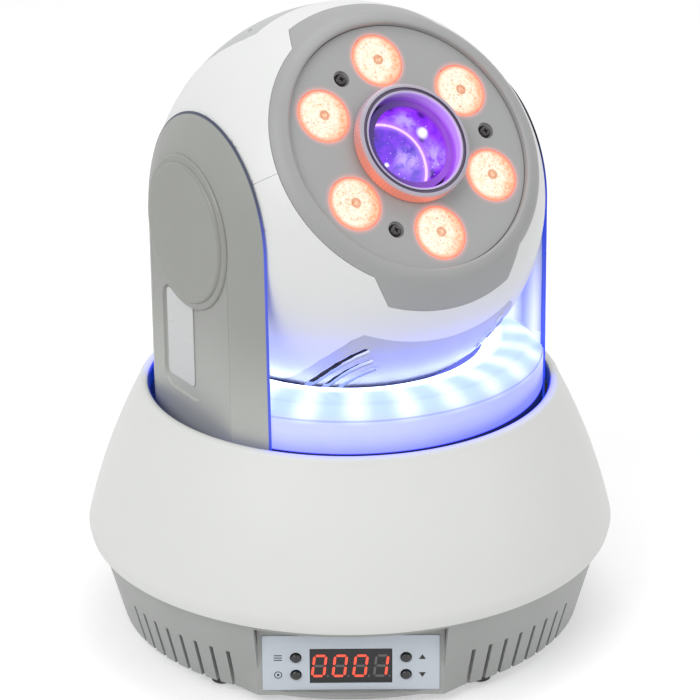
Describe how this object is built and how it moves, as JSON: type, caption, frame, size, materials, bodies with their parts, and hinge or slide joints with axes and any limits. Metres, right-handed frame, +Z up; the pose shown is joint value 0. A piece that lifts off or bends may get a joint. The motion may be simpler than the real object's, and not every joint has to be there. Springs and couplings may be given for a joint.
{
  "type": "moving head wash light",
  "caption": "Compact moving head light: round base with front panel and rear sockets, two-arm yoke with a lit ring, and a round head with a focusing centre lens among small lenses.",
  "frame": {"origin": "on the surface the feet stand on, under the pan axis", "axes": "+Z up along the pan axis; the base's front panel faces -Y; +X to the viewer's right of the panel"},
  "size_m": [0.2056, 0.2056, 0.2424],
  "materials": {
    "white_shell": "satin white moulding",
    "grey_shell": "fine textured grey moulding",
    "arm_grey": "satin grey moulding",
    "rubber": "matt",
    "steel_screw": "blackened",
    "label": "silver printed film",
    "display": "smoked window",
    "black_key": "polished",
    "board_green": "lacquered circuit board",
    "board_white": "white lacquered circuit board",
    "black_plastic": "moulded",
    "nickel": "nickel plated",
    "brass": "bright",
    "zinc_steel": "zinc plated sheet",
    "bearing_steel": "ground",
    "motor_black": "black with bare ends",
    "aluminium": "turned",
    "belt": "toothed belt",
    "ring_glow": "milky diffuser",
    "dark_blue_cover": "black moulding",
    "lens": "clear moulded optic",
    "glass": "coated glass",
    "plate_white": "bare plate",
    "led": "light source"
  },
  "bodies": {
    "base": {"upper_shell": "white_shell", "lower_shell": "grey_shell", "bottom_plate": "zinc_steel", "feet": "rubber", "base_screws": "steel_screw", "panel_label": "label", "display_module": "display", "control_board": "board_green", "power_inlet": "black_plastic", "data_in": "nickel", "connector_pins": "brass", "data_out": "nickel", "power_supply": "zinc_steel", "pan_bridge": "zinc_steel", "pan_bearing_outer": "bearing_steel", "pan_motor": "motor_black", "pan_belt": "belt"},
    "pan_drive": {"pan_motor_pulley": "aluminium"},
    "key_menu": {"button_menu": "black_key"},
    "key_enter": {"button_enter": "black_key"},
    "key_up": {"button_up": "black_key"},
    "key_down": {"button_down": "black_key"},
    "latch": {"data_out_latch": "nickel"},
    "yoke": {"pan_bearing_inner": "bearing_steel", "pan_pulley": "aluminium", "pan_shaft": "bearing_steel", "yoke_tray": "black_plastic", "yoke_dish": "dark_blue_cover", "ring_diffuser": "ring_glow", "ring_board": "board_white", "arm_outer_right": "arm_grey", "arm_inner_right": "arm_grey", "arm_outer_left": "arm_grey", "arm_inner_left": "arm_grey", "arm_caps": "arm_grey", "arm_nameplate": "plate_white", "tilt_bearings": "bearing_steel", "tilt_motor": "motor_black", "tilt_belt": "belt"},
    "tilt_drive": {"tilt_motor_pulley": "aluminium"},
    "head": {"head_shell_top": "white_shell", "head_shell_bottom": "white_shell", "head_bezel": "grey_shell", "rear_cover": "grey_shell", "head_screws": "steel_screw", "face_plate": "grey_shell", "wash_lenses": "lens", "optic_housing": "black_plastic", "light_board": "board_white", "light_chips": "led", "heatsink": "aluminium", "effect_motor": "motor_black", "head_chassis": "zinc_steel", "fan_frame": "black_plastic", "tilt_pulley": "aluminium"},
    "fan": {"fan_rotor": "black_plastic"},
    "effect": {"effect_disc": "glass"},
    "focus": {"focus_ring": "black_plastic"},
    "focus_lens": {"lens_cell": "aluminium", "front_lens": "glass"}
  },
  "joints": [
    {"name": "pan", "type": "hinge", "parent": "base", "child": "yoke", "pos_m": [0, 0, 0.053], "axis": [0, 0, 1], "range_deg": [-302.2, 237.8]},
    {"name": "pan_motor_turn", "type": "hinge", "parent": "base", "child": "pan_drive", "pos_m": [-0.043, 0, 0.042], "axis": [0, 0, 1], "range_deg": [-1208.8, 951.2]},
    {"name": "tilt", "type": "hinge", "parent": "yoke", "child": "head", "pos_m": [0, 0, 0.168], "axis": [-0.8462, -0.5329, 0], "range_deg": [-52.5, 157.5]},
    {"name": "tilt_motor_turn", "type": "hinge", "parent": "yoke", "child": "tilt_drive", "pos_m": [-0.055, -0.03464, 0.078], "axis": [-0.8462, -0.5329, 0], "range_deg": [-157.5, 472.5]},
    {"name": "fan_spin", "type": "hinge", "parent": "head", "child": "fan", "pos_m": [-0.01628, 0.02585, 0.14456], "axis": [0.4228, -0.6713, 0.6088], "continuous": true},
    {"name": "effect_spin", "type": "hinge", "parent": "head", "child": "effect", "pos_m": [0.00972, -0.01544, 0.182], "axis": [0.4228, -0.6713, 0.6088], "continuous": true},
    {"name": "focus_turn", "type": "hinge", "parent": "head", "child": "focus", "pos_m": [0.02325, -0.03692, 0.20148], "axis": [0.4228, -0.6713, 0.6088], "range_deg": [-120, 120]},
    {"name": "focus_slide", "type": "slide", "parent": "head", "child": "focus_lens", "axis": [0.4228, -0.6713, 0.6088], "range_m": [-0.0025, 0.0025]},
    {"name": "menu_press", "type": "slide", "parent": "base", "child": "key_menu", "axis": [0, 1, 0], "range_m": [0, 0.00025], "stiffness_N_per_m": 600},
    {"name": "enter_press", "type": "slide", "parent": "base", "child": "key_enter", "axis": [0, 1, 0], "range_m": [0, 0.00025], "stiffness_N_per_m": 600},
    {"name": "up_press", "type": "slide", "parent": "base", "child": "key_up", "axis": [0, 1, 0], "range_m": [0, 0.00025], "stiffness_N_per_m": 600},
    {"name": "down_press", "type": "slide", "parent": "base", "child": "key_down", "axis": [0, 1, 0], "range_m": [0, 0.00025], "stiffness_N_per_m": 600},
    {"name": "latch_press", "type": "slide", "parent": "base", "child": "latch", "axis": [0, -1, 0], "range_m": [0, 0.0015], "stiffness_N_per_m": 1200}
  ],
  "couplings": [
    {"joint": "pan_motor_turn", "follows": "pan", "ratio": 4},
    {"joint": "tilt_motor_turn", "follows": "tilt", "ratio": 3},
    {"joint": "focus_slide", "follows": "focus_turn", "m_per_rad": 0.0011937}
  ]
}
